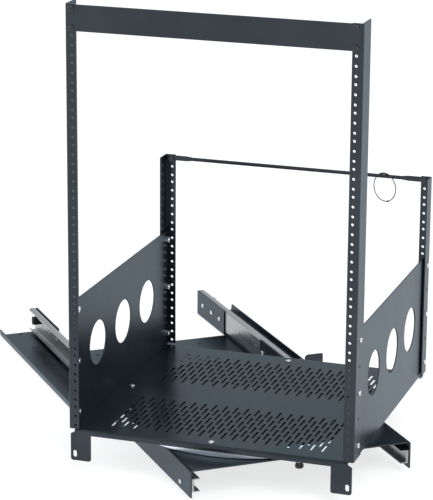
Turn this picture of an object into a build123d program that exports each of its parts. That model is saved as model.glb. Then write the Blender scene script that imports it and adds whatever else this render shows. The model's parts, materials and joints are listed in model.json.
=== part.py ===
"""Pull-out rotating equipment rack, 16 units high, on ball-bearing slides.

Millimetres, +Z up.  The row frame is parallel to the rack as it stands here: the rack faces -Y.
The origin is the centre of the base plate's underside, on the floor.  The base and its slides
are turned by TURN about Z, because the rack stands pulled out and turned on its turntable.

Three working frames are used and then placed:
  base frame   X across the base, Y towards its rear, Z up, origin as the row frame
  carriage     the base frame, shifted to the turntable axis
  rack frame   X across, Y back from the rails' front face, Z up from the shelf's top face
"""
from build123d import *
import math
import os

# ---- the rack standard -------------------------------------------------------------------
UNIT = 44.45                     # one rack unit
RACK_WIDTH = 482.6               # width over the side panels, 19 inches
HOLE_X = 465.1 / 2               # rail hole columns from the centre
BAY_HALF = 226.0                 # clear half width between the rails
HOLE_STEPS = (6.35, 22.225, 38.1)  # the three holes of each unit, from its lower edge
HOLE_R = 2.4                     # tapped rail hole
FRONT_UNITS = 16
REAR_UNITS = 8

# ---- where things stand ------------------------------------------------------------------
TURN = 39.45                     # the base, turned about Z from the rack
SHELF_Z = 76.5                   # shelf's top face above the floor
AXIS_Y = 231.0                   # turntable axis behind the rails' front face
TRAVEL = 476.0                   # slide travel
AXIS_CLOSED = -2.0               # turntable axis from the base centre, pushed home
AXIS_OUT = AXIS_CLOSED - TRAVEL  # and pulled right out, as it stands here

# ---- sheet metal -------------------------------------------------------------------------
SHEET = 2.0                      # rack frame steel
HEAVY = 2.5                      # base, carriage and rail steel
BEND = 1.5                       # inside bend radius

# ---- base --------------------------------------------------------------------------------
BASE_LENGTH = 460.0
BASE_HALF = 241.0                # half width at the root of the lips
LIP_OUT = 1.5
LIP_TOP = 13.6
STUB_TOP = 4.5                   # top of the plate's upturned edges, where tabs and ears start
TAB_FACE = 167.5                 # inboard face of the slide tabs
TAB_TOP = 51.5
FRONT_WING_LENGTH = 127.0
REAR_WING_LENGTH = 149.5
TABS_Y = ((-230.0, -103.0), (84.0, 230.0))
EAR_INNER = 206.0
EAR_TOP = 55.2
EAR_HOLE_X = 234.0
EAR_HOLE_Z = 32.5
WING_HOLE_X = 204.7
WING_HOLES_Y = (220.0, 132.0, -132.0, -200.0)
MIDDLE_HOLE = (103.4, 47.5)
FLOOR_HOLE_R = 3.5

# ---- slides ------------------------------------------------------------------------------
FIXED_LENGTH = 456.0
INNER_LENGTH = 405.0             # middle and moving members
SLIDE_Z = 28.25                  # height of the slides' centre line
FIXED_BACK = TAB_FACE + HEAVY    # inboard face of the fixed member
SLIDE_OUTER = 192.75             # outboard face of the spacer beside the moving member
FIXED = dict(wall=1.8, half=22.5, depth=13.0, lip=4.9, bend=2.0)
MIDDLE = dict(wall=1.6, half=17.0, depth=11.8, lip=3.8)
MOVING = dict(wall=1.8, half=11.5, depth=11.6)
MOVING_OUTER = 190.0             # outboard face of the moving member
MIDDLE_BACK = 173.2
OUTER_BALL_R = 1.75
INNER_BALL_R = 1.87
OUTER_BALL_Z = 18.85
INNER_BALL_Z = 13.45
RETAINER_WALL = 0.6
RETAINER_LENGTH = 160.0
TAB_SCREWS_REAR = (197.2, 149.7, 106.7)
TAB_SCREWS_FRONT = (-116.0, -162.0, -208.0)
WEB_RIVETS = (9.0, -75.0)
WEB_HOLES = (182.0, 134.0, 91.0)

# ---- carriage and turntable --------------------------------------------------------------
CARRIAGE_TOP = 55.5
CARRIAGE_HALF = SLIDE_OUTER + HEAVY
CARRIAGE_FRONT = -224.0          # from the turntable axis
CARRIAGE_REAR = 233.0
CARRIAGE_BOTTOM = 8.1
CARRIAGE_SCREW_Z = 20.5
CARRIAGE_SCREWS_Y = (-178.0, 66.0, 178.0)
PAN_R = 227.0
PAN_WALL = 3.0
PAN_SKIRT_Z = 56.5
RACE_R = 167.0                   # circle of the turntable balls
RACE_HALF = 11.0
TURN_BALL_R = 4.5
TURN_BALL_Z = 63.0
TURN_BALLS = 32
SHELF_SCREW_R = 218.0
PLUNGER_Y = -211.0
LOCK_ANGLES = (-60, 0, 60)

# ---- rack --------------------------------------------------------------------------------
RAIL_DEPTH = 43.0                # front rail's side flange, front to back
FRONT_RAIL_OUTER = 243.8         # outer face, outside the panel
REAR_RAIL_OUTER = 245.3          # outer face, a shim's thickness off the panel
REAR_FACE_Y = 482.0              # rear face of the rear rails
REAR_FLANGE = 32.0
SHIM_Y = (456.0, 477.0)
SHIM_Z = (4.0, 211.0)
PANEL_FRONT = 5.0
PANEL_BOTTOM = -1.0
PANEL_REAR = 478.0
PANEL_TOP = 215.5
PORT_R = 38.1                    # round openings in the side panels
PORT_Z = 112.0
PORTS_Y = (124.0, 245.0, 366.0)
PANEL_HOLES_Z = [UNIT * (i + 0.5) for i in range(5)]
NUT_HEIGHT = 3.2
LOCK_NUT_HEIGHT = 6.2            # self-locking nuts inside the panels
FRONT_SCREW_Y = 23.5
REAR_SCREW_Y = 466.0
SHELF_REAR = 472.0
SHELF_EDGE_X = 239.2             # deck's side edge between the panels
SHELF_FLANGE_Z = -10.0
FLANGE_HALF = 234.3              # half length of the shelf's front flange
TAB_INNER = 206.0
TAB_BOTTOM = -55.5
TAB_SLOT = (234.0, -44.0)
SLOT_PITCH_X = 9.525
SLOT_PITCH_Y = 40.2
SLOT_LENGTH = 32.0
SLOT_WIDTH = 4.0
SLOT_COLUMNS = 19                # columns each side of the middle one
SLOT_BANDS_Y = (AXIS_Y - 121.0, AXIS_Y + 121.0)
BLANK_BOTTOM = 668.2
BLANK_TOP = 710.9
BAR_Y = 476.4
BAR_Z = 350.7
BAR_HOLE_Z = 349.25              # the rear rails' top hole
BAR_R = 3.175
RING_X = 162.3
RING_R = 24.9
RING_WIRE_R = 0.9
RING_TURN = 116.2                # the ring's plane, turned from the rack's depth
SLEEVE_R = 1.4
SLEEVE_ARC = (66.0, 130.0)       # the ring's sleeved stretch, from its right-hand side
FOOT = (236.0, -8.5)             # rubber feet behind the shelf, across and up
FOOT_R = 5.2


# ---- helpers -----------------------------------------------------------------------------
def block(x0, x1, y0, y1, z0, z1):
    """A box between two corners."""
    centre = Pos((x0 + x1) / 2, (y0 + y1) / 2, (z0 + z1) / 2)
    return centre * Box(x1 - x0, y1 - y0, z1 - z0)


def rod(radius, start, end):
    """A round bar between two points on a line along X, Y or Z."""
    way = Vector(*end) - Vector(*start)
    plane = Plane(origin=start, z_dir=way.normalized())
    return extrude(plane * Circle(radius), amount=way.length)


def fold(points, wall, bend=BEND):
    """The section of a folded sheet that follows points along its middle, as a face in XY."""
    path = [Vector(*p) for p in points]
    steps = [(b - a).normalized() for a, b in zip(path, path[1:])]
    normals = [Vector(-d.Y, d.X) for d in steps]
    sides = []
    for side in (0.5, -0.5):
        edge = [path[0] + normals[0] * wall * side]
        radii = []
        for corner, before, after in zip(path[1:-1], normals, normals[1:]):
            edge.append(corner + (before + after) * (wall * side / (1 + before.dot(after))))
            left = before.cross(after).Z > 0
            radii.append(bend if left == (side > 0) else bend + wall)
        edge.append(path[-1] + normals[-1] * wall * side)
        sides.append(FilletPolyline(*edge, radius=radii) if radii else Line(*edge))
    first, second = sides
    ends = [Line(first @ 0, second @ 0), Line(first @ 1, second @ 1)]
    return make_face([first.edges(), second.edges(), ends[0].edges(), ends[1].edges()])


def along_y(section, y0, y1):
    """A section drawn in X and Z, run from y0 to y1."""
    plane = Plane(origin=(0, y1, 0), x_dir=(1, 0, 0), z_dir=(0, -1, 0))
    return extrude(plane * section, amount=y1 - y0)


def along_x(section, x0, x1):
    """A section drawn in Y and Z, run from x0 to x1."""
    plane = Plane(origin=(x0, 0, 0), x_dir=(0, 1, 0), z_dir=(1, 0, 0))
    return extrude(plane * section, amount=x1 - x0)


def mirror_x(shape):
    """The other hand of a shape."""
    return mirror(shape, about=Plane.YZ)


def both_sides(shapes):
    """The shapes, and the same on the other side."""
    return list(shapes) + [mirror_x(s) for s in shapes]


def pan_screw(point, way, head_r, head_h, shank_r, length):
    """A pan-head screw: its head's underside is at point and its shank runs along way."""
    plane = Plane(origin=point, z_dir=way)
    head = extrude(plane * Circle(head_r), amount=-head_h)
    head = fillet(head.edges().group_by(lambda e: -plane.to_local_coords(e).center().Z)[-1], head_h * 0.45)
    recess = extrude(plane.offset(-head_h) * (Rectangle(head_r * 1.1, 0.9) + Rectangle(0.9, head_r * 1.1)),
                     amount=head_h * 0.5)
    return head - recess + extrude(plane * Circle(shank_r), amount=length)


def hex_nut(point, way, across, height, bore_r):
    """A hexagon nut standing on point."""
    plane = Plane(origin=point, z_dir=way)
    return extrude(plane * (RegularPolygon(across / 2, 6, major_radius=False) - Circle(bore_r)), amount=height)


def on_base(shape):
    """Place a shape from the base frame."""
    return Rot(0, 0, TURN) * shape


def on_carriage(shape):
    """Place a shape from the carriage frame."""
    return Rot(0, 0, TURN) * Pos(0, AXIS_OUT, 0) * shape


def on_rack(shape):
    """Place a shape from the rack frame."""
    axis = Vector(0, AXIS_OUT, 0).rotate(Axis.Z, TURN)
    return Pos(axis.X, axis.Y - AXIS_Y, SHELF_Z) * shape


# ---- base --------------------------------------------------------------------------------
def base_plate():
    """H-shaped floor plate with outer lips, and low upturned edges under the tabs and ears."""
    front = -BASE_LENGTH / 2
    rear = BASE_LENGTH / 2
    floor = HEAVY / 2
    lip = [(BASE_HALF, floor), (BASE_HALF + LIP_OUT, LIP_TOP)]
    wing = fold([(TAB_FACE + floor, STUB_TOP), (TAB_FACE + floor, floor)] + lip, HEAVY)
    middle = fold([(-x, z) for x, z in reversed(lip)] + lip, HEAVY)
    plate = along_y(middle, front + FRONT_WING_LENGTH, rear - REAR_WING_LENGTH)
    for y0, y1 in ((front, front + FRONT_WING_LENGTH), (rear - REAR_WING_LENGTH, rear)):
        side = along_y(wing, y0, y1)
        plate = plate + side + mirror_x(side)
    lip_front = block(BASE_HALF - 3, BASE_HALF + 10, front - 1, front + 8, HEAVY, LIP_TOP + 2)
    foot = fold([(front + 14, floor), (front + floor, floor), (front + floor, STUB_TOP)], HEAVY)
    feet = both_sides([along_x(foot, EAR_INNER, BASE_HALF - 3.5)])
    return plate - both_sides([lip_front]) + feet - floor_holes()


def slide_tabs():
    """Upright tabs that carry the slides' fixed members, two a side."""
    tabs = []
    for y0, y1 in TABS_Y:
        tab = block(TAB_FACE, FIXED_BACK, y0, y1, STUB_TOP, TAB_TOP)
        tabs.append(fillet(tab.edges().filter_by(Axis.X).group_by(Axis.Z)[-1], 4) - slide_holes())
    return both_sides(tabs)


def base_ears():
    """Ears turned up at the front edge, each with a hole that meets a cabinet rail."""
    front = -BASE_LENGTH / 2
    outline = make_face(Polyline(
        (EAR_INNER, STUB_TOP), (BASE_HALF - 3.5, STUB_TOP), (BASE_HALF - 3.5, 11), (RACK_WIDTH / 2, 11),
        (RACK_WIDTH / 2, EAR_TOP), (EAR_INNER + 4, EAR_TOP), (EAR_INNER, EAR_TOP - 4), close=True))
    outline = fillet(outline.vertices().sort_by(lambda v: v.X + v.Y)[-1], 2.5)
    plane = Plane(origin=(0, front, 0), x_dir=(1, 0, 0), z_dir=(0, -1, 0))
    ear = extrude(plane * outline, amount=-HEAVY)
    return both_sides([ear - rod(3.4, (EAR_HOLE_X, front - 1, EAR_HOLE_Z), (EAR_HOLE_X, front + 5, EAR_HOLE_Z))])


def floor_holes():
    """Screw holes through the plate."""
    places = [(WING_HOLE_X, y) for y in WING_HOLES_Y] + [MIDDLE_HOLE]
    return both_sides([rod(FLOOR_HOLE_R, (x, y, -1), (x, y, HEAVY + 1)) for x, y in places])


def slide_holes():
    """Holes for the screws that hold the fixed slide members."""
    return [rod(2.5, (TAB_FACE - 1, y, SLIDE_Z), (FIXED_BACK + 1, y, SLIDE_Z))
            for y in TAB_SCREWS_REAR + TAB_SCREWS_FRONT]


# ---- slides, right hand side --------------------------------------------------------------
def channel(back, wall, half, depth, lip=0.0, bend=0.8):
    """Section of a slide member that opens outboard, its web's inboard face at back."""
    web = back + wall / 2
    top = half - wall / 2
    mouth = back + depth - wall / 2
    points = [(web, -top), (web, top)]
    flange = [(mouth if lip else back + depth, top)]
    if lip:
        flange.append((mouth, half - lip))
    lower = [(x, -z) for x, z in reversed(flange)]
    return Pos(0, SLIDE_Z) * fold(lower + points + flange, wall, bend)


def fixed_slide():
    """Fixed member: the widest channel, screwed to the base tabs, with two stop rivets."""
    rear = BASE_LENGTH / 2
    body = along_y(channel(FIXED_BACK, **FIXED), rear - FIXED_LENGTH, rear)
    for y in TAB_SCREWS_REAR + TAB_SCREWS_FRONT + WEB_HOLES:
        body = body - rod(2.5, (FIXED_BACK - 1, y, SLIDE_Z), (FIXED_BACK + 3, y, SLIDE_Z))
    for y in WEB_RIVETS:
        body = body + rod(3.0, (FIXED_BACK - 0.9, y, SLIDE_Z), (FIXED_BACK + 0.5, y, SLIDE_Z))
    return body


def middle_front():
    """Front end of the middle member, half the travel out."""
    return BASE_LENGTH / 2 - FIXED_LENGTH - TRAVEL / 2


def middle_slide():
    """Middle member, half the travel out."""
    front = middle_front()
    body = along_y(channel(MIDDLE_BACK, **MIDDLE), front, front + INNER_LENGTH)
    for y in (front + INNER_LENGTH * 0.2, front + INNER_LENGTH * 0.8):
        window = block(MIDDLE_BACK - 1, MIDDLE_BACK + 3, y - 12, y + 12, SLIDE_Z - 4, SLIDE_Z + 4)
        body = body - window
    return body


def moving_slide():
    """Moving member, its web against the spacer and its mouth inboard."""
    section = mirror(channel(-MOVING_OUTER, **MOVING), about=Plane.YZ)
    front = CARRIAGE_FRONT + 2
    body = along_y(section, front, front + INNER_LENGTH)
    for y in CARRIAGE_SCREWS_Y:
        body = body - rod(2.1, (MOVING_OUTER - 4, y, CARRIAGE_SCREW_Z), (MOVING_OUTER + 1, y, CARRIAGE_SCREW_Z))
    return body


def slide_spacer():
    """Flat strip between the moving member and the carriage flange."""
    front = CARRIAGE_FRONT + 2
    half = MOVING["half"]
    strip = block(MOVING_OUTER, SLIDE_OUTER, front, front + INNER_LENGTH, SLIDE_Z - half, SLIDE_Z + half)
    return strip - [rod(2.1, (MOVING_OUTER - 1, y, CARRIAGE_SCREW_Z), (SLIDE_OUTER + 1, y, CARRIAGE_SCREW_Z))
                    for y in CARRIAGE_SCREWS_Y]


def retainer(back, depth, ball_z, ball_r, centre, length, pitch):
    """A ball retainer: a thin channel with a hole for each ball."""
    web = back + RETAINER_WALL / 2
    section = fold([(web + depth, -ball_z), (web, -ball_z), (web, ball_z), (web + depth, ball_z)],
                   RETAINER_WALL, bend=0.4)
    body = along_y(Pos(0, SLIDE_Z) * section, centre - length / 2, centre + length / 2)
    ball_x = web + depth / 2 + 0.6
    places = [centre + (i - (round(length / pitch) - 2) / 2) * pitch for i in range(round(length / pitch) - 1)]
    reach = ball_z + 3
    holes = [rod(ball_r + 0.1, (ball_x, y, SLIDE_Z - reach), (ball_x, y, SLIDE_Z + reach)) for y in places]
    balls = [Pos(ball_x, y, SLIDE_Z + side * ball_z) * Sphere(ball_r) for y in places for side in (1, -1)]
    return body - holes, balls


def outer_retainer():
    """Between the fixed and middle members, a quarter of the travel out."""
    front = BASE_LENGTH / 2 - FIXED_LENGTH
    centre = (front + middle_front() + INNER_LENGTH) / 2
    return retainer(172.2, 8.0, OUTER_BALL_Z, OUTER_BALL_R, centre, RETAINER_LENGTH, 18.0)


def inner_retainer():
    """Between the middle and moving members, three quarters of the travel out."""
    moving_rear = AXIS_OUT + CARRIAGE_FRONT + 2 + INNER_LENGTH
    centre = (middle_front() + moving_rear) / 2
    return retainer(175.2, 7.5, INNER_BALL_Z, INNER_BALL_R, centre, RETAINER_LENGTH, 15.0)


def tab_screws():
    """Screws through the tabs into the fixed members, flush inside the channels, and low-headed
    ones in the holes of the webs."""
    inside = FIXED_BACK + FIXED["wall"]
    through = [pan_screw((TAB_FACE, y, SLIDE_Z), (1, 0, 0), 4.2, 2.2, 2.4, inside - TAB_FACE)
               for y in TAB_SCREWS_REAR + TAB_SCREWS_FRONT]
    low = [pan_screw((inside, y, SLIDE_Z), (-1, 0, 0), 3.2, 0.9, 2.4, FIXED["wall"]) for y in WEB_HOLES]
    return both_sides(through + low)


def slide_bumper():
    """Rubber stop in the rear mouth of a fixed member."""
    rear = BASE_LENGTH / 2
    face = FIXED_BACK + FIXED["wall"]
    rubber = block(face, face + 17.0, rear - 47, rear - 35, 30.5, 45.0)
    return fillet(rubber.edges().filter_by(Axis.X), 2)


# ---- carriage, in the carriage frame -------------------------------------------------------
def carriage_plate():
    """Top plate with a flange turned down each side."""
    side = CARRIAGE_HALF - HEAVY / 2
    top = CARRIAGE_TOP - HEAVY / 2
    section = fold([(-side, CARRIAGE_BOTTOM), (-side, top), (side, top), (side, CARRIAGE_BOTTOM)], HEAVY)
    plate = along_y(section, CARRIAGE_FRONT, CARRIAGE_REAR)
    for y in CARRIAGE_SCREWS_Y:
        for sign in (1, -1):
            start = (sign * (CARRIAGE_HALF - 4), y, CARRIAGE_SCREW_Z)
            plate = plate - rod(2.5, start, (sign * (CARRIAGE_HALF + 1), y, CARRIAGE_SCREW_Z))
    plate = plate - rod(6.05, (0, PLUNGER_Y, CARRIAGE_TOP - 4), (0, PLUNGER_Y, CARRIAGE_TOP + 1))
    return plate - [rod(2.6, (x, y, CARRIAGE_TOP - 4), (x, y, CARRIAGE_TOP + 1)) for x, y in race_screw_places()]


def race_screw_places():
    """Places of the screws that hold the lower race."""
    turns = [math.radians(45 + 90 * i) for i in range(4)]
    radius = RACE_R + RACE_HALF + 5
    return [(radius * math.cos(a), radius * math.sin(a)) for a in turns]


def carriage_screws():
    """Screws through the carriage flanges into the moving members."""
    return both_sides([pan_screw((CARRIAGE_HALF, y, CARRIAGE_SCREW_Z), (-1, 0, 0), 4.0, 2.2, 2.0,
                                 HEAVY + SLIDE_OUTER - MOVING_OUTER + MOVING["wall"] + 1.0)
                       for y in CARRIAGE_SCREWS_Y])


def race(inner, outer, z0, z1):
    """A ring with a groove for the balls."""
    ring = make_face(Polyline((inner, 0, z0), (outer, 0, z0), (outer, 0, z1), (inner, 0, z1), close=True))
    body = revolve(ring, Axis.Z)
    groove = Pos(0, 0, TURN_BALL_Z) * Torus(RACE_R, TURN_BALL_R + 0.12)
    return body - groove


def lower_race():
    """Race screwed to the carriage."""
    ring = race(RACE_R - RACE_HALF, RACE_R + RACE_HALF + 10, CARRIAGE_TOP, 61.0)
    return ring - [rod(2.4, (x, y, CARRIAGE_TOP - 1), (x, y, 62)) for x, y in race_screw_places()]


def upper_race():
    """Race under the pan."""
    return race(RACE_R - RACE_HALF, RACE_R + RACE_HALF, 65.0, SHELF_Z - SHEET - PAN_WALL)


def race_screws():
    """Screws from under the carriage into the lower race."""
    underside = CARRIAGE_TOP - HEAVY
    return [pan_screw((x, y, underside), (0, 0, 1), 4.0, 2.2, 2.35, 7.5) for x, y in race_screw_places()]


def turn_ball_places():
    """Places of the turntable balls."""
    turns = [2 * math.pi * i / TURN_BALLS for i in range(TURN_BALLS)]
    return [(RACE_R * math.cos(a), RACE_R * math.sin(a), TURN_BALL_Z) for a in turns]


def turn_balls():
    """The turntable's balls."""
    return [Pos(*p) * Sphere(TURN_BALL_R) for p in turn_ball_places()]


def ball_cage():
    """Flat ring that keeps the balls apart."""
    ring = Pos(0, 0, TURN_BALL_Z - 0.5) * extrude(Circle(RACE_R + 9) - Circle(RACE_R - 9), amount=1.0)
    return ring - [rod(TURN_BALL_R + 0.1, (x, y, z - 2), (x, y, z + 2)) for x, y, z in turn_ball_places()]


def plunger_barrel():
    """Barrel of the turntable lock, screwed up through the carriage plate, with its chamber."""
    barrel = rod(6.0, (0, PLUNGER_Y, 40.5), (0, PLUNGER_Y, 61.0))
    flats = hex_nut((0, PLUNGER_Y, CARRIAGE_TOP - HEAVY - 6), (0, 0, 1), 15.0, 6.0, 5.0)
    chamber = rod(4.4, (0, PLUNGER_Y, 43.0), (0, PLUNGER_Y, 58.0))
    return barrel + flats - chamber - rod(3.06, (0, PLUNGER_Y, 40), (0, PLUNGER_Y, 62))


def plunger_nut():
    """Lock nut on the barrel above the plate."""
    return hex_nut((0, PLUNGER_Y, CARRIAGE_TOP), (0, 0, 1), 17.0, 4.0, 6.0)


def lock_pin():
    """Pin with a collar that the spring pushes up."""
    pin = rod(3.0, (0, PLUNGER_Y, 32.0), (0, PLUNGER_Y, SHELF_Z - SHEET - PAN_WALL - 0.4))
    pin = chamfer(pin.edges().group_by(Axis.Z)[-1], 0.8)
    return pin + rod(4.25, (0, PLUNGER_Y, 55.0), (0, PLUNGER_Y, 57.5))


def lock_spring():
    """Compression spring under the pin's collar."""
    wire = 0.4
    path = Helix(pitch=2.2, height=11.0, radius=3.65)
    start = path @ 0
    coil = sweep(Plane(origin=start, z_dir=path % 0) * Circle(wire), path=path)
    return Pos(0, PLUNGER_Y, 43.5) * coil


def lock_knob():
    """Round pull knob on the pin's lower end, with a neck and a grip ring."""
    half = [(3.0, 40.0), (5.6, 40.0), (6.2, 39.0), (6.2, 36.5), (7.2, 35.8), (7.2, 31.6), (6.0, 30.2), (0, 30.2),
            (0, 32.0), (3.0, 32.0)]
    section = make_face(Polyline(*[(r, 0, z) for r, z in half], close=True))
    return Pos(0, PLUNGER_Y, 0) * revolve(section, Axis.Z)


# ---- rotating pan, in the carriage frame's axis, turning with the rack ------------------------
def turntable_pan():
    """Aluminium pan under the shelf: a disc with a skirt, and lock holes."""
    top = SHELF_Z - SHEET
    half = [(0, top), (PAN_R, top), (PAN_R, PAN_SKIRT_Z), (PAN_R - HEAVY, PAN_SKIRT_Z),
            (PAN_R - HEAVY, top - PAN_WALL), (0, top - PAN_WALL)]
    pan = revolve(make_face(Polyline(*[(r, 0, z) for r, z in half], close=True)), Axis.Z)
    rim = pan.edges().filter_by(GeomType.CIRCLE).sort_by(lambda e: e.radius + e.center().Z * 1e-3)[-1]
    pan = fillet(rim, 2)
    for angle in LOCK_ANGLES:
        turn = math.radians(angle - 90)
        x = -PLUNGER_Y * math.cos(turn)
        y = -PLUNGER_Y * math.sin(turn)
        pan = pan - rod(3.3, (x, y, top - 5), (x, y, top + 1))
    for x, y in shelf_screw_places():
        pan = pan - rod(2.4, (x, y, top - 5), (x, y, top + 1))
    return pan


def shelf_screw_places():
    """Screws through the shelf into the pan, from the turntable axis."""
    return [(SHELF_SCREW_R * math.cos(a), SHELF_SCREW_R * math.sin(a))
            for a in (0, math.pi / 2, math.pi, 3 * math.pi / 2)]


# ---- rack, in the rack frame -------------------------------------------------------------
def rail_hole_heights(units):
    """Heights of every hole in a rail."""
    return [UNIT * n + step for n in range(units) for step in HOLE_STEPS]


def front_rail():
    """Right front rail: an angle that wraps the panel's front edge from outside."""
    front = HEAVY / 2
    outer = FRONT_RAIL_OUTER - HEAVY / 2
    section = fold([(BAY_HALF, front), (outer, front), (outer, RAIL_DEPTH)], HEAVY, bend=0.8)
    rail = extrude(section, amount=UNIT * FRONT_UNITS)
    holes = [rod(HOLE_R, (HOLE_X, -1, z), (HOLE_X, HEAVY + 1, z)) for z in rail_hole_heights(FRONT_UNITS)]
    side = [rod(2.6, (outer - 3, FRONT_SCREW_Y, z), (outer + 3, FRONT_SCREW_Y, z)) for z in PANEL_HOLES_Z]
    return rail - holes - side


def rear_rail():
    """Right rear rail: an angle that wraps the panel's rear edge from outside."""
    outer = REAR_RAIL_OUTER - HEAVY / 2
    back = REAR_FACE_Y - HEAVY / 2
    section = fold([(BAY_HALF, back), (outer, back), (outer, REAR_FACE_Y - REAR_FLANGE)], HEAVY, bend=0.8)
    rail = extrude(section, amount=UNIT * REAR_UNITS)
    holes = [rod(HOLE_R, (HOLE_X, back - 3, z), (HOLE_X, back + 3, z)) for z in rail_hole_heights(REAR_UNITS)]
    side = [rod(2.6, (outer - 3, REAR_SCREW_Y, z), (outer + 3, REAR_SCREW_Y, z)) for z in PANEL_HOLES_Z]
    return rail - holes - side


def rear_shims():
    """Strips that hold the rear rails off the side panels."""
    inner = RACK_WIDTH / 2
    strip = block(inner, REAR_RAIL_OUTER - HEAVY, *SHIM_Y, *SHIM_Z)
    holes = [rod(2.6, (inner - 1, REAR_SCREW_Y, z), (inner + 3, REAR_SCREW_Y, z)) for z in PANEL_HOLES_Z]
    return both_sides([strip - holes])


def side_panel():
    """Right side panel with three round ports."""
    inner = RACK_WIDTH / 2 - SHEET
    panel = block(inner, inner + SHEET, PANEL_FRONT, PANEL_REAR, PANEL_BOTTOM, PANEL_TOP)
    ports = [rod(PORT_R, (inner - 5, y, PORT_Z), (inner + 5, y, PORT_Z)) for y in PORTS_Y]
    holes = [rod(2.6, (inner - 5, y, z), (inner + 5, y, z)) for y in (FRONT_SCREW_Y, REAR_SCREW_Y)
             for z in PANEL_HOLES_Z]
    return panel - ports - holes


def panel_screws():
    """Six bright screws through the right panel and rails, in every other hole."""
    tip = RACK_WIDTH / 2 - SHEET - LOCK_NUT_HEIGHT - 1
    places = ((FRONT_RAIL_OUTER, FRONT_SCREW_Y), (REAR_RAIL_OUTER, REAR_SCREW_Y))
    return [pan_screw((outer, y, z), (-1, 0, 0), 4.3, 2.4, 2.4, outer - tip)
            for z in PANEL_HOLES_Z[::2] for outer, y in places]


def panel_nuts():
    """Nuts on the inside of the right panel's screws."""
    inner = RACK_WIDTH / 2 - SHEET
    return [hex_nut((inner, y, z), (-1, 0, 0), 9.5, LOCK_NUT_HEIGHT, 2.4)
            for z in PANEL_HOLES_Z[::2] for y in (FRONT_SCREW_Y, REAR_SCREW_Y)]


def vent_slots():
    """Two bands of staggered slots, four and three to a column in turn."""
    slot = Rot(0, 0, 90) * SlotOverall(SLOT_LENGTH, SLOT_WIDTH)
    places = []
    for band in SLOT_BANDS_Y:
        for column in range(-SLOT_COLUMNS, SLOT_COLUMNS + 1):
            rows = 4 if column % 2 else 3
            for row in range(rows):
                places.append((column * SLOT_PITCH_X, band + (row - (rows - 1) / 2) * SLOT_PITCH_Y))
    return [Pos(x, y) * slot for x, y in places]


def shelf():
    """Vented deck with front and rear flanges, and two slotted tabs under its front corners."""
    middle = SHEET / 2
    section = fold([(middle, SHELF_FLANGE_Z), (middle, -middle), (SHELF_REAR - middle, -middle),
                    (SHELF_REAR - middle, SHELF_FLANGE_Z)], SHEET, bend=2.5)
    deck = along_x(section, -SHELF_EDGE_X, SHELF_EDGE_X)
    deck = deck - both_sides([block(FLANGE_HALF, SHELF_EDGE_X + 1, -1, PANEL_FRONT - 0.1, -20, 2)])
    slots = Pos(0, 0, -5) * extrude(Sketch(children=vent_slots()), amount=10)
    screws = [rod(2.5, (x, AXIS_Y + y, -5), (x, AXIS_Y + y, 2)) for x, y in shelf_screw_places()]
    return deck - slots - screws + both_sides([shelf_tab()])


def shelf_tab():
    """Tab that hangs from the shelf's front flange, with a slot for a cabinet rail screw."""
    half = RACK_WIDTH / 2
    root = SHELF_FLANGE_Z + 1
    outline = make_face(Polyline((TAB_INNER, root), (TAB_INNER, TAB_BOTTOM), (half, TAB_BOTTOM), (half, root),
                                 (FLANGE_HALF, root + 4), (FLANGE_HALF, root), close=True))
    outline = fillet(outline.vertices().sort_by(Axis.Y)[:2], 4)
    outline = outline - Pos(*TAB_SLOT) * Rot(0, 0, 90) * SlotOverall(12, 6.5)
    plane = Plane(origin=(0, 0, 0), x_dir=(1, 0, 0), z_dir=(0, -1, 0))
    return extrude(plane * outline, amount=-SHEET)


def blank_panel():
    """Flat one-unit blank panel across the rail tops."""
    half = RACK_WIDTH / 2 - 0.3
    panel = block(-half, half, -SHEET, 0, BLANK_BOTTOM, BLANK_TOP)
    return panel - both_sides([rod(2.9, (HOLE_X, -5, z), (HOLE_X, 5, z)) for z in blank_screw_heights()])


def blank_screw_heights():
    """The outer holes of the top unit."""
    base = UNIT * (FRONT_UNITS - 1)
    return (base + HOLE_STEPS[0], base + HOLE_STEPS[2])


def blank_screws():
    """Black screws that hold the blank panel."""
    return both_sides([pan_screw((HOLE_X, -SHEET, z), (0, 1, 0), 4.8, 3.0, 2.35, 12)
                       for z in blank_screw_heights()])


def crossbar():
    """Round bar with flattened ends, across the rear rails' top holes."""
    round_half = 190.0
    flat_start = 204.0
    flat_end = RACK_WIDTH / 2 - 0.6
    bar = rod(BAR_R, (-round_half, BAR_Y, BAR_Z), (round_half, BAR_Y, BAR_Z))
    near = Plane(origin=(round_half, BAR_Y, BAR_Z), x_dir=(0, 1, 0), z_dir=(1, 0, 0))
    far = Plane(origin=(flat_start, BAR_Y, BAR_Z), x_dir=(0, 1, 0), z_dir=(1, 0, 0))
    neck = loft([near * RectangleRounded(5.6, 5.6, 2.7), far * RectangleRounded(3.2, 9.2, 1.5)])
    paddle = extrude(far * RectangleRounded(3.2, 9.2, 1.5), amount=flat_end - flat_start)
    ends = both_sides([neck + paddle])
    return bar + ends - both_sides([rod(2.4, (HOLE_X, BAR_Y - 5, BAR_HOLE_Z), (HOLE_X, BAR_Y + 5, BAR_HOLE_Z))])


def crossbar_screws():
    """Screws from behind through the rail's top hole and the flattened end."""
    return both_sides([pan_screw((HOLE_X, REAR_FACE_Y, BAR_HOLE_Z), (0, -1, 0), 4.5, 2.6, 2.35, 11)])


def crossbar_nuts():
    """Nuts in front of the flattened ends."""
    return both_sides([hex_nut((HOLE_X, BAR_Y - 1.6, BAR_HOLE_Z), (0, -1, 0), 9.5, NUT_HEIGHT, 2.4)])


def ring_place(shape):
    """Place a shape from the ring's own plane, its centre below the bar."""
    drop = RING_R - BAR_R - SLEEVE_R - 0.3
    turn = math.radians(RING_TURN)
    across = Vector(math.sin(turn), math.cos(turn), 0)
    plane = Plane(origin=(RING_X, BAR_Y, BAR_Z - drop), x_dir=across, z_dir=across.cross(Vector(0, 0, 1)))
    return plane.location * shape


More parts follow.
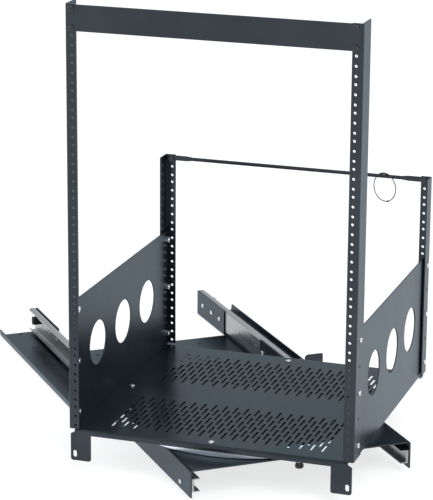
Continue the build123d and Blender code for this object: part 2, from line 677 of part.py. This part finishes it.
def ring_sleeve():
    """Black sleeve on the top of the ring, where it bears on the bar."""
    low, high = SLEEVE_ARC
    tube = Plane.XZ * (Pos(RING_R, 0) * (Circle(SLEEVE_R) - Circle(RING_WIRE_R)))
    return ring_place(Rot(0, 0, low) * revolve(tube, Axis.Z, high - low))


def hanging_ring():
    """Wire ring that hangs round the bar, its ends joined in a small ferrule."""
    ferrule_turn = math.radians(-73)
    point = (RING_R * math.cos(ferrule_turn), RING_R * math.sin(ferrule_turn), 0)
    tangent = (-math.sin(ferrule_turn), math.cos(ferrule_turn), 0)
    ferrule = extrude(Plane(origin=point, z_dir=tangent) * Circle(1.5), amount=3.0, both=True)
    return ring_place(Torus(RING_R, RING_WIRE_R) + fillet(ferrule.edges(), 0.5))


def rear_feet():
    """Rubber feet on the shelf's rear flange."""
    x, z = FOOT
    rubber = rod(FOOT_R, (x, SHELF_REAR + 1.2, z), (x, SHELF_REAR + 9.5, z))
    rubber = fillet(rubber.edges().group_by(Axis.Y)[-1], 1.2)
    return both_sides([rubber - rod(1.5, (x, SHELF_REAR, z), (x, SHELF_REAR + 5, z))])


def foot_studs():
    """Plated washer and stud of each foot."""
    x, z = FOOT
    washer = rod(4.4, (x, SHELF_REAR, z), (x, SHELF_REAR + 1.2, z))
    return both_sides([washer + rod(1.5, (x, SHELF_REAR, z), (x, SHELF_REAR + 5, z))])


def shelf_screws():
    """Four bright screws through the deck into the pan."""
    return [pan_screw((x, AXIS_Y + y, 0), (0, 0, -1), 4.9, 2.2, 2.35, 8) for x, y in shelf_screw_places()]


# ---- every node --------------------------------------------------------------------------
def paired(name, shape, place):
    """The right-hand node and its left-hand mirror image."""
    shapes = shape if isinstance(shape, list) else [shape]
    left = [mirror_x(s) for s in shapes]
    return {"right_" + name: [place(s) for s in shapes], "left_" + name: [place(s) for s in left]}


def pan_place(shape):
    """Place a shape from the turntable axis, turning with the rack."""
    axis = Vector(0, AXIS_OUT, 0).rotate(Axis.Z, TURN)
    return Pos(axis.X, axis.Y, 0) * shape


def build_nodes():
    """All nodes as lists of solids, by name."""
    outer_cage, outer_balls = outer_retainer()
    inner_cage, inner_balls = inner_retainer()
    base = {"base_plate": [base_plate()], "slide_tabs": slide_tabs(), "base_ears": base_ears(),
            "slide_tab_screws": tab_screws()}
    nodes = {name: [on_base(s) for s in shapes] for name, shapes in base.items()}
    nodes.update(paired("fixed_slide", fixed_slide(), on_base))
    nodes.update(paired("slide_bumper", slide_bumper(), on_base))
    nodes.update(paired("middle_slide", middle_slide(), on_base))
    nodes.update(paired("outer_ball_retainer", outer_cage, on_base))
    nodes.update(paired("outer_slide_balls", outer_balls, on_base))
    nodes.update(paired("inner_ball_retainer", inner_cage, on_base))
    nodes.update(paired("inner_slide_balls", inner_balls, on_base))
    nodes.update(paired("moving_slide", moving_slide(), on_carriage))
    nodes.update(paired("slide_spacer", slide_spacer(), on_carriage))
    carriage = {"carriage_plate": [carriage_plate()], "carriage_screws": carriage_screws(),
                "turntable_lower_race": [lower_race()], "lower_race_screws": race_screws(),
                "turntable_balls": turn_balls(), "turntable_ball_cage": [ball_cage()],
                "lock_barrel": [plunger_barrel()], "lock_nut": [plunger_nut()], "lock_pin": [lock_pin()],
                "lock_spring": [lock_spring()], "lock_knob": [lock_knob()]}
    for name, shapes in carriage.items():
        nodes[name] = [on_carriage(s) for s in shapes]
    nodes["turntable_pan"] = [pan_place(turntable_pan())]
    nodes["turntable_upper_race"] = [pan_place(upper_race())]
    nodes.update(paired("front_rail", front_rail(), on_rack))
    nodes.update(paired("rear_rail", rear_rail(), on_rack))
    nodes.update(paired("side_panel", side_panel(), on_rack))
    nodes.update(paired("panel_screws", panel_screws(), on_rack))
    nodes.update(paired("panel_nuts", panel_nuts(), on_rack))
    rack = {"shelf": [shelf()], "shelf_screws": shelf_screws(), "blank_panel": [blank_panel()],
            "blank_panel_screws": blank_screws(), "crossbar": [crossbar()],
            "crossbar_screws": crossbar_screws(), "crossbar_nuts": crossbar_nuts(),
            "ring_sleeve": [ring_sleeve()], "hanging_ring": [hanging_ring()],
            "rear_feet": rear_feet(), "foot_studs": foot_studs(), "rear_rail_shims": rear_shims()}
    for name, shapes in rack.items():
        nodes[name] = [on_rack(s) for s in shapes]
    return nodes


os.makedirs("parts", exist_ok=True)
for node, shapes in build_nodes().items():
    solids = [solid for shape in shapes for solid in shape.solids()]
    export_step(solids[0] if len(solids) == 1 else Compound(children=solids), f"parts/{node}.step")
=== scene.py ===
"""Looks of the pull-out rotating equipment rack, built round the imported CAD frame.

Metres, in the CAD row frame: the rack faces -Y, +Z is up, the floor is at z = 0.
"""
import json
import math

import bpy
from mathutils import Matrix, Vector

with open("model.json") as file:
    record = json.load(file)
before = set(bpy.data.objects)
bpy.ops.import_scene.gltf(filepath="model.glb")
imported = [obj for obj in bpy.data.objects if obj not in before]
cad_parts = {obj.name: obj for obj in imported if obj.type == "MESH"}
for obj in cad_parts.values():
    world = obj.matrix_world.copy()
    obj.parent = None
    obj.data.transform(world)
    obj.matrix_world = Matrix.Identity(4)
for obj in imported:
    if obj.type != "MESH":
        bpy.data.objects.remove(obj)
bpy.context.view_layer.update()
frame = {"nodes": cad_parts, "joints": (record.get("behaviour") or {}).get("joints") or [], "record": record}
NODES = frame["nodes"]
JOINTS = {joint["name"]: joint for joint in frame["joints"]}

# ---- camera ------------------------------------------------------------------------------
CAMERA_AT = (1.4752, -4.1169, 1.4810)
CAMERA_PITCH = math.radians(16.155)   # down
CAMERA_YAW = math.radians(18.264)     # to the left of +Y
CAMERA_ROLL = math.radians(0.413)
CAMERA_LENS = 174.95
CAMERA_SENSOR = 36.0
CAMERA_REACH = 100.0

# ---- room --------------------------------------------------------------------------------
FLOOR_REACH = 30.0
FLOOR_GLOW = 0.74                     # its own light, which keeps it nearly white under the rack
WORLD_COLOR = (0.93, 0.97, 1.0)
WORLD_STRENGTH = 0.78
KEY_AT = (2.2, -2.6, 3.2)             # to the right of the rack and in front of it
KEY_AIM = (0.3, -0.35, 0.2)
KEY_SIZE = 2.2
KEY_POWER = 75.0
FILL_AT = (-3.0, -1.5, 2.4)           # to the left
FILL_AIM = (0.3, -0.35, 0.3)
FILL_SIZE = 2.4
FILL_POWER = 25.0

# ---- the pan -----------------------------------------------------------------------------
# painted shade: from this height up the pan's top is coloured near black, standing in for the shade under
# the deck
PAN_PAINTED_SHADE_FROM = 0.0742                # height where the pan's skirt ends and its dark top begins
PAN_PAINTED_SHADE_TO = 0.0744


# ---- node materials ----------------------------------------------------------------------
class Nodes:
    """Short calls for building one material's node tree."""

    def __init__(self, name):
        self.material = bpy.data.materials.new(name)
        self.material.use_nodes = True
        self.tree = self.material.node_tree
        self.shader = self.tree.nodes["Principled BSDF"]
        self.place = self.tree.nodes.new("ShaderNodeTexCoord").outputs["Object"]

    def node(self, kind, **values):
        made = self.tree.nodes.new(kind)
        for key, value in values.items():
            setattr(made, key, value)
        return made

    def link(self, source, target):
        self.tree.links.new(source, target)

    def scaled(self, scale, turn):
        """The object's coordinates, scaled, and turned about Z first."""
        turned = self.node("ShaderNodeVectorRotate", rotation_type="Z_AXIS")
        turned.inputs["Angle"].default_value = turn
        self.link(self.place, turned.inputs["Vector"])
        mapped = self.node("ShaderNodeMapping")
        mapped.inputs["Scale"].default_value = scale
        self.link(turned.outputs[0], mapped.inputs["Vector"])
        return mapped.outputs[0]

    def noise(self, scale, detail=3.0, rough=0.5, place=None):
        made = self.node("ShaderNodeTexNoise")
        made.inputs["Scale"].default_value = scale
        made.inputs["Detail"].default_value = detail
        made.inputs["Roughness"].default_value = rough
        self.link(place or self.place, made.inputs["Vector"])
        return made.outputs["Fac"]

    def voronoi(self, scale):
        made = self.node("ShaderNodeTexVoronoi")
        made.inputs["Scale"].default_value = scale
        self.link(self.place, made.inputs["Vector"])
        return made.outputs["Distance"]

    def ramp(self, source, low, high, to_low=0.0, to_high=1.0):
        """source's stretch from low to high, brought to to_low..to_high and held there outside it."""
        made = self.node("ShaderNodeMapRange", clamp=True)
        for name, value in (("From Min", low), ("From Max", high), ("To Min", to_low), ("To Max", to_high)):
            made.inputs[name].default_value = value
        self.link(source, made.inputs["Value"])
        return made.outputs["Result"]

    def math(self, operation, first, second):
        made = self.node("ShaderNodeMath", operation=operation)
        for socket, value in zip(made.inputs, (first, second)):
            if isinstance(value, (int, float)):
                socket.default_value = value
            else:
                self.link(value, socket)
        return made.outputs[0]

    def mix(self, factor, first, second):
        made = self.node("ShaderNodeMix", data_type="RGBA")
        self.link(factor, made.inputs["Factor"])
        for socket, value in ((made.inputs["A"], first), (made.inputs["B"], second)):
            if isinstance(value, tuple):
                socket.default_value = (*value, 1.0)
            else:
                self.link(value, socket)
        return made.outputs["Result"]

    def edges(self, radius, samples=4):
        """1 on sharp edges, 0 on flat stretches."""
        bevel = self.node("ShaderNodeBevel", samples=samples)
        bevel.inputs["Radius"].default_value = radius
        flat = self.node("ShaderNodeNewGeometry")
        dot = self.node("ShaderNodeVectorMath", operation="DOT_PRODUCT")
        self.link(bevel.outputs[0], dot.inputs[0])
        self.link(flat.outputs["Normal"], dot.inputs[1])
        return self.ramp(dot.outputs["Value"], 0.995, 0.80), bevel.outputs[0]

    def bump(self, height, distance, strength=1.0, normal=None):
        made = self.node("ShaderNodeBump")
        made.inputs["Strength"].default_value = strength
        made.inputs["Distance"].default_value = distance
        self.link(height, made.inputs["Height"])
        if normal is not None:
            self.link(normal, made.inputs["Normal"])
        return made.outputs[0]

    def set(self, **values):
        """Values or links for the shader's own sockets."""
        names = {"color": "Base Color", "rough": "Roughness", "metal": "Metallic", "normal": "Normal",
                 "specular": "Specular IOR Level", "tint": "Specular Tint",
                 "glow": "Emission Color", "glow_strength": "Emission Strength"}
        for key, value in values.items():
            socket = self.shader.inputs[names[key]]
            if isinstance(value, tuple):
                socket.default_value = (*value, 1.0)
            elif isinstance(value, (int, float)):
                socket.default_value = value
            else:
                self.link(value, socket)
        return self.material


def powder_coat():
    """Charcoal coat: fine orange peel, faint clouds of gloss, paler chipped edges."""
    n = Nodes("powder_coat")
    edge, rounded = n.edges(0.0007)
    clouds = n.noise(9.0, 3.0)
    peel = n.noise(850.0, 2.0, 0.6)
    grain = n.noise(2600.0, 1.0)
    tone = n.mix(n.ramp(clouds, 0.35, 0.65), (0.036, 0.044, 0.052), (0.046, 0.055, 0.064))
    chips = n.math("MULTIPLY", edge, n.ramp(n.noise(190.0, 4.0, 0.65), 0.42, 0.68))
    tone = n.mix(n.math("MULTIPLY", chips, 0.45), tone, (0.110, 0.122, 0.134))
    rough = n.math("ADD", n.ramp(clouds, 0.3, 0.7, 0.23, 0.29), n.ramp(grain, 0.3, 0.7, 0.0, 0.05))
    height = n.math("ADD", peel, n.math("MULTIPLY", grain, 0.35))
    return n.set(color=tone, rough=rough, metal=0.92, specular=0.5, tint=(0.74, 0.80, 0.855),
                 normal=n.bump(height, 0.00006, 0.55, rounded))


def slide_zinc(turn):
    """Dulled zinc plate on a rolled slide member: drawn lengthwise, with smears of grease."""
    n = Nodes("slide_zinc")
    edge, rounded = n.edges(0.0004)
    lines = n.noise(1.0, 4.0, 0.6, n.scaled((2600.0, 7.0, 2600.0), turn))
    smear = n.noise(1.0, 3.0, 0.55, n.scaled((60.0, 6.0, 60.0), turn))
    spangle = n.noise(70.0, 3.0)
    tone = n.mix(n.ramp(lines, 0.3, 0.7), (0.31, 0.325, 0.33), (0.45, 0.46, 0.465))
    tone = n.mix(n.ramp(spangle, 0.45, 0.75, 0.0, 0.35), tone, (0.33, 0.36, 0.36))
    tone = n.mix(n.ramp(smear, 0.55, 0.80, 0.0, 0.55), tone, (0.20, 0.20, 0.185))
    tone = n.mix(n.math("MULTIPLY", edge, 0.4), tone, (0.62, 0.63, 0.64))
    rough = n.math("ADD", n.ramp(lines, 0.3, 0.7, 0.26, 0.36), n.ramp(smear, 0.5, 0.8, 0.0, -0.08))
    return n.set(color=tone, rough=rough, metal=1.0, normal=n.bump(lines, 0.00003, 0.5, rounded))


def bright_zinc(name, low, high, rough):
    """Plated fastener or wire: fine polish, a little dulled in patches, brighter on its edges."""
    n = Nodes(name)
    edge, rounded = n.edges(0.00025)
    patches = n.noise(140.0, 3.0)
    fine = n.noise(3200.0, 2.0)
    tone = n.mix(n.ramp(patches, 0.35, 0.7), low, high)
    tone = n.mix(n.math("MULTIPLY", edge, 0.35), tone, tuple(min(1.0, c * 1.25) for c in high))
    shine = n.math("ADD", n.ramp(patches, 0.3, 0.7, rough, rough + 0.10), n.ramp(fine, 0.3, 0.7, 0.0, 0.04))
    return n.set(color=tone, rough=shine, metal=1.0, normal=n.bump(fine, 0.00001, 0.5, rounded))


def black_oxide():
    """Blackened screws: oily black, worn bright at the recess and rim."""
    n = Nodes("black_oxide")
    edge, rounded = n.edges(0.0003)
    patches = n.noise(160.0, 3.0)
    fine = n.noise(3000.0, 2.0)
    tone = n.mix(n.ramp(patches, 0.35, 0.7), (0.012, 0.012, 0.014), (0.024, 0.025, 0.027))
    worn = n.math("MULTIPLY", edge, n.ramp(n.noise(500.0, 3.0), 0.45, 0.65))
    tone = n.mix(n.math("MULTIPLY", worn, 0.6), tone, (0.16, 0.16, 0.17))
    return n.set(color=tone, rough=n.ramp(patches, 0.3, 0.7, 0.28, 0.42), specular=0.6,
                 normal=n.bump(fine, 0.00001, 0.5, rounded))


def spun_aluminium(axis):
    """Pale aluminium pan: concentric turning marks round the turntable axis, and painted shade (near black)
    on its top.
    """
    n = Nodes("spun_aluminium")
    edge, rounded = n.edges(0.0005)
    move = n.node("ShaderNodeVectorMath", operation="SUBTRACT")
    move.inputs[1].default_value = (axis[0], axis[1], 0.0)
    n.link(n.place, move.inputs[0])
    flat = n.node("ShaderNodeVectorMath", operation="MULTIPLY")
    flat.inputs[1].default_value = (1.0, 1.0, 0.0)
    n.link(move.outputs[0], flat.inputs[0])
    reach = n.node("ShaderNodeVectorMath", operation="LENGTH")
    n.link(flat.outputs[0], reach.inputs[0])
    height = n.node("ShaderNodeSeparateXYZ")
    n.link(n.place, height.inputs[0])
    ring_place = n.node("ShaderNodeCombineXYZ")
    n.link(reach.outputs["Value"], ring_place.inputs["X"])
    n.link(height.outputs["Z"], ring_place.inputs["Y"])
    rings = n.noise(1400.0, 3.0, 0.6, ring_place.outputs[0])
    haze = n.noise(24.0, 3.0)
    tone = n.mix(n.ramp(haze, 0.35, 0.7), (0.74, 0.83, 0.92), (0.84, 0.92, 0.98))
    tone = n.mix(n.math("MULTIPLY", edge, 0.4), tone, (0.85, 0.88, 0.90))
    # painted shade: above the skirt the pan's top is coloured near black, standing in for the shade under
    # the deck
    shaded_top = n.ramp(height.outputs["Z"], PAN_PAINTED_SHADE_FROM, PAN_PAINTED_SHADE_TO)
    tone = n.mix(shaded_top, tone, (0.006, 0.006, 0.007))
    rough = n.math("ADD", n.ramp(rings, 0.3, 0.7, 0.30, 0.40), n.ramp(haze, 0.3, 0.7, 0.0, 0.06))
    return n.set(color=tone, rough=rough, metal=1.0, normal=n.bump(rings, 0.00003, 0.5, rounded))


def ball_steel():
    """Hardened balls under a film of grease."""
    n = Nodes("ball_steel")
    film = n.noise(300.0, 3.0)
    tone = n.mix(n.ramp(film, 0.4, 0.7), (0.66, 0.66, 0.67), (0.50, 0.47, 0.40))
    return n.set(color=tone, rough=n.ramp(film, 0.4, 0.7, 0.08, 0.24), metal=1.0,
                 normal=n.bump(film, 0.00001, 0.4))


def moulded_rubber():
    """Black rubber: matt, fine pimpled skin, dusty on its edges."""
    n = Nodes("moulded_rubber")
    edge, rounded = n.edges(0.0006)
    dust = n.noise(60.0, 4.0)
    pimple = n.voronoi(1800.0)
    tone = n.mix(n.ramp(dust, 0.4, 0.75), (0.012, 0.012, 0.012), (0.030, 0.030, 0.031))
    tone = n.mix(n.math("MULTIPLY", edge, 0.4), tone, (0.055, 0.055, 0.055))
    return n.set(color=tone, rough=n.ramp(dust, 0.3, 0.7, 0.62, 0.78), specular=0.35,
                 normal=n.bump(pimple, 0.00005, 0.5, rounded))


def black_plastic():
    """Moulded black knob: glossy, with a fine moulded grain and finger smears."""
    n = Nodes("black_plastic")
    edge, rounded = n.edges(0.0005)
    smear = n.noise(90.0, 3.0)
    grain = n.voronoi(1700.0)
    tone = n.mix(n.ramp(smear, 0.35, 0.7), (0.006, 0.006, 0.0065), (0.011, 0.011, 0.012))
    tone = n.mix(n.math("MULTIPLY", edge, 0.4), tone, (0.035, 0.035, 0.036))
    return n.set(color=tone, rough=n.ramp(smear, 0.3, 0.7, 0.22, 0.38),
                 normal=n.bump(grain, 0.00004, 0.4, rounded))


# ---- where the frame says things are -----------------------------------------------------
TURN_AXIS = Vector(JOINTS["rack_turn"]["pos_m"])
PULL = Vector(JOINTS["carriage_slide"]["axis"])
BASE_TURN = math.atan2(PULL.x, -PULL.y)

MATERIALS = {
    "powder_coat": powder_coat(),
    "zinc": slide_zinc(-BASE_TURN),
    "bright_zinc": bright_zinc("bright_zinc", (0.74, 0.76, 0.79), (0.92, 0.93, 0.95), 0.20),
    "black_screw": black_oxide(),
    "aluminium": spun_aluminium(TURN_AXIS),
    "ball_steel": ball_steel(),
    "rubber": moulded_rubber(),
    "knob_black": black_plastic(),
    "ring_wire": bright_zinc("ring_wire", (0.05, 0.05, 0.055), (0.22, 0.22, 0.23), 0.14),
}


def paint(thing, slot_name):
    """Give an object one material in every slot it has."""
    if not thing.data.materials:
        thing.data.materials.append(MATERIALS[slot_name])
    for place in thing.material_slots:
        place.material = MATERIALS[slot_name]


for part in frame["record"]["subparts"]:
    paint(NODES[part["node"]], part["material_slot"])


# ---- floor, lights and camera ------------------------------------------------------------
def make_floor():
    """Plain pale floor, far enough to fill every view."""
    mesh = bpy.data.meshes.new("floor")
    corners = [(-FLOOR_REACH, -FLOOR_REACH, 0), (FLOOR_REACH, -FLOOR_REACH, 0),
               (FLOOR_REACH, FLOOR_REACH, 0), (-FLOOR_REACH, FLOOR_REACH, 0)]
    mesh.from_pydata(corners, [], [(0, 1, 2, 3)])
    floor = bpy.data.objects.new("floor", mesh)
    bpy.context.scene.collection.objects.link(floor)
    n = Nodes("floor")
    shade = n.mix(n.noise(0.6, 2.0), (0.38, 0.38, 0.38), (0.40, 0.40, 0.40))
    floor.data.materials.append(n.set(color=shade, rough=0.9, specular=0.1, glow=(1.0, 1.0, 1.0),
                                      glow_strength=FLOOR_GLOW))


def make_light(name, at, towards, size, power):
    """A square soft light."""
    data = bpy.data.lights.new(name, "AREA")
    data.shape = "SQUARE"
    data.size = size
    data.energy = power
    lamp = bpy.data.objects.new(name, data)
    lamp.location = at
    lamp.rotation_euler = (Vector(towards) - Vector(at)).to_track_quat("-Z", "Y").to_euler()
    bpy.context.scene.collection.objects.link(lamp)


def make_world():
    """Even, very soft light from all round."""
    world = bpy.data.worlds.new("studio")
    bpy.context.scene.world = world
    world.use_nodes = True
    back = world.node_tree.nodes["Background"]
    back.inputs["Color"].default_value = (*WORLD_COLOR, 1.0)
    back.inputs["Strength"].default_value = WORLD_STRENGTH


def make_camera():
    """Camera at the photograph's viewing angle."""
    data = bpy.data.cameras.new("camera")
    data.lens = CAMERA_LENS
    data.sensor_width = CAMERA_SENSOR
    data.sensor_fit = "AUTO"
    data.clip_end = CAMERA_REACH
    camera = bpy.data.objects.new("camera", data)
    ahead = Vector((-math.sin(CAMERA_YAW) * math.cos(CAMERA_PITCH),
                    math.cos(CAMERA_YAW) * math.cos(CAMERA_PITCH), -math.sin(CAMERA_PITCH)))
    right = Vector((math.cos(CAMERA_YAW), math.sin(CAMERA_YAW), 0.0))
    up = right.cross(ahead)
    rolled_right = math.cos(CAMERA_ROLL) * right + math.sin(CAMERA_ROLL) * up
    rolled_up = -math.sin(CAMERA_ROLL) * right + math.cos(CAMERA_ROLL) * up
    turn = Matrix((rolled_right, rolled_up, -ahead)).transposed()
    camera.matrix_world = Matrix.Translation(CAMERA_AT) @ turn.to_4x4()
    bpy.context.scene.collection.objects.link(camera)
    bpy.context.scene.camera = camera


make_floor()
make_world()
make_light("key", KEY_AT, KEY_AIM, KEY_SIZE, KEY_POWER)
make_light("fill", FILL_AT, FILL_AIM, FILL_SIZE, FILL_POWER)
make_camera()

scene = bpy.context.scene
scene.view_settings.view_transform = "Standard"
scene.view_settings.look = "None"

bpy.context.view_layer.update()
